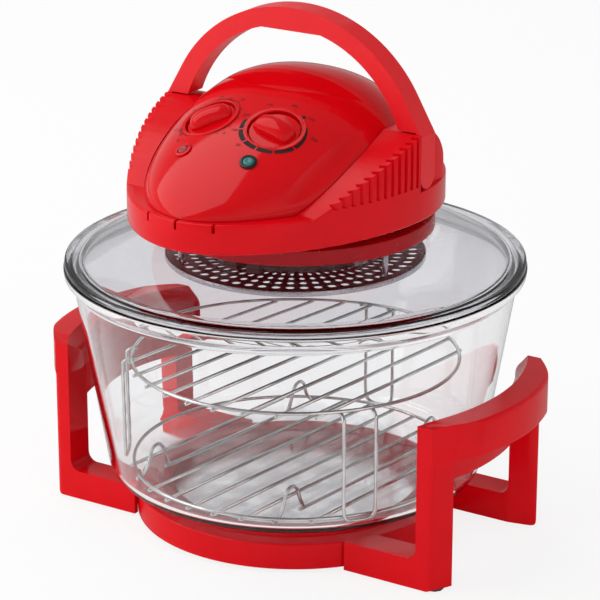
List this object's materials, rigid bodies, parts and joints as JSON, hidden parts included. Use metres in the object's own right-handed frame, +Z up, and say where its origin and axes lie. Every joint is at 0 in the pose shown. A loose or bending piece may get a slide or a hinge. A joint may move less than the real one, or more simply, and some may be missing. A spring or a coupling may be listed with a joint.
{
  "type": "halogen oven",
  "caption": "Tabletop halogen oven: glass bowl on a plastic stand with grips, wire racks, and a lift-off glass lid carrying the motor head and folding handle.",
  "frame": {"origin": "on the surface it stands on, under the middle of the bowl", "axes": "+Z up, control panel faces -Y, the two side frames of the stand lie along X"},
  "size_m": [0.387, 0.34, 0.3869],
  "materials": {
    "red_satin": "moulded, satin",
    "red_gloss": "polished",
    "clear_glass": "clear, polished",
    "plated_wire": "plated",
    "dark_steel": "dark pressed sheet",
    "bright_steel": "plain",
    "black_plastic": "moulded",
    "grey_rubber": "matt",
    "silicone": "matt silicone",
    "red_lens": "clear tinted",
    "green_lens": "clear tinted",
    "ceramic": "white insulating body",
    "quartz": "frosted quartz",
    "copper_winding": "enamelled winding",
    "brass_contact": "plain",
    "cast_aluminium": "cast"
  },
  "bodies": {
    "stand": {"stand_ring": "red_satin", "right_side_frame": "red_satin", "left_side_frame": "red_satin", "rear_right_foot": "grey_rubber", "rear_right_screw": "bright_steel", "rear_left_foot": "grey_rubber", "rear_left_screw": "bright_steel", "front_left_foot": "grey_rubber", "front_left_screw": "bright_steel", "front_right_foot": "grey_rubber", "front_right_screw": "bright_steel"},
    "bowl": {"glass_bowl": "clear_glass"},
    "low_rack": {"low_rack": "plated_wire"},
    "high_rack": {"high_rack": "plated_wire"},
    "handle": {"carry_handle": "red_satin", "right_handle_clip": "bright_steel", "left_handle_clip": "bright_steel"},
    "timer": {"timer_knob": "red_gloss", "timer_spindle": "bright_steel"},
    "thermostat": {"thermostat_knob": "red_gloss", "thermostat_spindle": "bright_steel"},
    "rotor": {"motor_shaft": "bright_steel", "motor_rotor": "cast_aluminium", "convection_fan": "dark_steel", "cooling_fan": "black_plastic"},
    "plunger": {"switch_plunger": "ceramic"},
    "head": {"glass_lid": "clear_glass", "lid_gasket": "silicone", "neck_ring": "red_satin", "lower_housing": "red_satin", "top_cover": "red_gloss", "lid_switch": "black_plastic", "timer_body": "ceramic", "thermostat_body": "cast_aluminium", "power_lens": "red_lens", "power_lamp": "ceramic", "heat_lens": "green_lens", "heat_lamp": "ceramic", "heat_shield": "bright_steel", "fan_guard": "dark_steel", "guard_stud_1": "bright_steel", "guard_stud_2": "bright_steel", "guard_stud_3": "bright_steel", "halogen_tube": "quartz", "right_lamp_cap": "ceramic", "left_lamp_cap": "ceramic", "right_lamp_clip": "bright_steel", "left_lamp_clip": "bright_steel", "motor_stator": "dark_steel", "motor_coil": "copper_winding", "lower_bearing_bridge": "bright_steel", "upper_bearing_bridge": "bright_steel", "right_motor_bolt": "bright_steel", "left_motor_bolt": "bright_steel", "mains_inlet": "black_plastic", "inlet_pin_1": "brass_contact", "inlet_pin_2": "brass_contact", "inlet_pin_3": "brass_contact", "terminal_block": "ceramic"}
  },
  "joints": [
    {"name": "bowl_lift", "type": "slide", "parent": "stand", "child": "bowl", "axis": [0, 0, 1], "range_m": [0, 0.06]},
    {"name": "low_rack_lift", "type": "slide", "parent": "bowl", "child": "low_rack", "axis": [0, 0, 1], "range_m": [0, 0.045]},
    {"name": "high_rack_lift", "type": "slide", "parent": "bowl", "child": "high_rack", "axis": [0, 0, 1], "range_m": [0, 0.06]},
    {"name": "lid_lift", "type": "slide", "parent": "bowl", "child": "head", "axis": [0, 0, 1], "range_m": [0, 0.12]},
    {"name": "handle_fold", "type": "hinge", "parent": "head", "child": "handle", "pos_m": [0, 0.003, 0.278], "axis": [-1, 0, 0], "range_deg": [0, 88]},
    {"name": "timer_turn", "type": "hinge", "parent": "head", "child": "timer", "pos_m": [-0.02545, -0.06619, 0.31012], "axis": [0.1868, 0.3871, -0.9029], "range_deg": [0, 300]},
    {"name": "thermostat_turn", "type": "hinge", "parent": "head", "child": "thermostat", "pos_m": [0.02545, -0.06619, 0.31012], "axis": [-0.1868, 0.3871, -0.9029], "range_deg": [0, 270]},
    {"name": "fan_spin", "type": "hinge", "parent": "head", "child": "rotor", "pos_m": [0, 0, 0.25], "axis": [0, 0, 1], "continuous": true},
    {"name": "switch_press", "type": "slide", "parent": "head", "child": "plunger", "axis": [0, 1, 0], "range_m": [0, 0.002]}
  ],
  "couplings": [
    {"joint": "switch_press", "follows": "handle_fold", "m_per_rad": 0.0013009}
  ]
}
